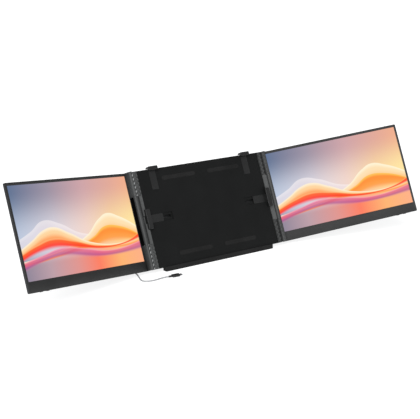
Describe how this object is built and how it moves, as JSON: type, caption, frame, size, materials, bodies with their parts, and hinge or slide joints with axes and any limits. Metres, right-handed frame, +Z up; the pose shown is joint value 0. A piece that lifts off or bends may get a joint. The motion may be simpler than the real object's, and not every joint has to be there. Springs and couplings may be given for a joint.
{
  "type": "laptop screen extender",
  "caption": "Two hinged 15.6 inch screens on a leaning centre frame that grips a laptop lid with side clips and top hooks and stands on a folding kickstand.",
  "frame": {"origin": "middle of the flat underside of the rubber desk foot", "axes": "+X to the user's right along the row of screens, -Y towards the user, +Z up; the frame leans back 20.7 degrees as in use"},
  "size_m": [1.0548, 0.2235, 0.2572],
  "materials": {
    "frame_plastic": "fine-textured dark grey moulded plastic",
    "frame_metal": "dark grey anodised sheet",
    "hinge_metal": "dark grey satin anodised",
    "bezel_plastic": "dark grey matt plastic",
    "shell_metal": "dark grey anodised shell",
    "clip_plastic": "near-black glass-filled plastic",
    "gap_plastic": "black plastic",
    "lcd": "matt display glass with a lit picture",
    "backlight_plastic": "white reflector tray",
    "steel": "plain steel",
    "screw_steel": "black zinc-plated",
    "board": "green solder mask",
    "rubber_black": "black rubber",
    "button_plastic": "polished black plastic",
    "cable_jacket": "grey cable jacket",
    "plug_plastic": "black over-moulding"
  },
  "bodies": {
    "frame": {"front_plate": "frame_metal", "back_cover": "frame_plastic", "cover_screws": "screw_steel", "lid_pads": "rubber_black", "desk_foot": "rubber_black", "kickstand_pin": "steel", "control_board": "board", "usb_c_sockets": "steel", "cable": "cable_jacket", "frame_plug": "plug_plastic", "frame_plug_relief": "plug_plastic", "laptop_plug": "plug_plastic", "laptop_plug_relief": "plug_plastic", "left_rail": "hinge_metal", "left_rail_trims": "hinge_metal", "left_middle_barrel": "hinge_metal", "left_hinge_pins": "steel", "right_rail": "hinge_metal", "right_rail_trims": "hinge_metal", "right_middle_barrel": "hinge_metal", "right_hinge_pins": "steel"},
    "kickstand": {"kickstand": "frame_metal", "kickstand_foot": "rubber_black"},
    "left_screen": {"left_bezel": "bezel_plastic", "left_lcd_glass": "lcd", "left_backlight": "backlight_plastic", "left_back_shell": "shell_metal", "left_shell_screws": "screw_steel", "left_driver_board": "board", "left_lower_knuckle": "hinge_metal", "left_upper_knuckle": "hinge_metal", "left_gap_cover": "gap_plastic", "left_hinge_leaves": "steel"},
    "left_clip": {"left_side_clip": "clip_plastic", "left_clip_pad": "rubber_black", "left_clip_retainer": "clip_plastic"},
    "left_hook": {"left_top_hook": "clip_plastic", "left_hook_pad": "rubber_black", "left_hook_retainer": "clip_plastic"},
    "left_power": {"left_power_button": "button_plastic"},
    "left_menu": {"left_menu_button": "button_plastic"},
    "right_screen": {"right_bezel": "bezel_plastic", "right_lcd_glass": "lcd", "right_backlight": "backlight_plastic", "right_back_shell": "shell_metal", "right_shell_screws": "screw_steel", "right_driver_board": "board", "right_lower_knuckle": "hinge_metal", "right_upper_knuckle": "hinge_metal", "right_gap_cover": "gap_plastic", "right_hinge_leaves": "steel"},
    "right_clip": {"right_side_clip": "clip_plastic", "right_clip_pad": "rubber_black", "right_clip_retainer": "clip_plastic"},
    "right_hook": {"right_top_hook": "clip_plastic", "right_hook_pad": "rubber_black", "right_hook_retainer": "clip_plastic"},
    "right_power": {"right_power_button": "button_plastic"},
    "right_menu": {"right_menu_button": "button_plastic"}
  },
  "joints": [
    {"name": "left_screen_fold", "type": "hinge", "parent": "frame", "child": "left_screen", "pos_m": [-0.1862, 0.02979, 0.11585], "axis": [0, 0.3535, 0.9354], "range_deg": [-19.3, 160.7]},
    {"name": "right_screen_fold", "type": "hinge", "parent": "frame", "child": "right_screen", "pos_m": [0.1862, 0.03283, 0.1147], "axis": [0, -0.3535, -0.9354], "range_deg": [-19.3, 160.7]},
    {"name": "kickstand_fold", "type": "hinge", "parent": "frame", "child": "kickstand", "pos_m": [0, 0.06767, 0.17861], "axis": [-1, 0, 0], "range_deg": [0, 31.85]},
    {"name": "left_clip_slide", "type": "slide", "parent": "frame", "child": "left_clip", "axis": [-1, 0, 0], "range_m": [-0.025, 0.006]},
    {"name": "left_hook_slide", "type": "slide", "parent": "frame", "child": "left_hook", "axis": [0, 0.3535, 0.9354], "range_m": [0, 0.02]},
    {"name": "left_power_press", "type": "slide", "parent": "left_screen", "child": "left_power", "axis": [0, 0.3535, 0.9354], "range_m": [0, 0.0005], "stiffness_N_per_m": 1500, "springref_m": -0.0005},
    {"name": "left_menu_press", "type": "slide", "parent": "left_screen", "child": "left_menu", "axis": [0, 0.3535, 0.9354], "range_m": [0, 0.0005], "stiffness_N_per_m": 1500, "springref_m": -0.0005},
    {"name": "right_clip_slide", "type": "slide", "parent": "frame", "child": "right_clip", "axis": [1, 0, 0], "range_m": [-0.025, 0.006]},
    {"name": "right_hook_slide", "type": "slide", "parent": "frame", "child": "right_hook", "axis": [0, 0.3535, 0.9354], "range_m": [0, 0.02]},
    {"name": "right_power_press", "type": "slide", "parent": "right_screen", "child": "right_power", "axis": [0, 0.3535, 0.9354], "range_m": [0, 0.0005], "stiffness_N_per_m": 1500, "springref_m": -0.0005},
    {"name": "right_menu_press", "type": "slide", "parent": "right_screen", "child": "right_menu", "axis": [0, 0.3535, 0.9354], "range_m": [0, 0.0005], "stiffness_N_per_m": 1500, "springref_m": -0.0005}
  ]
}
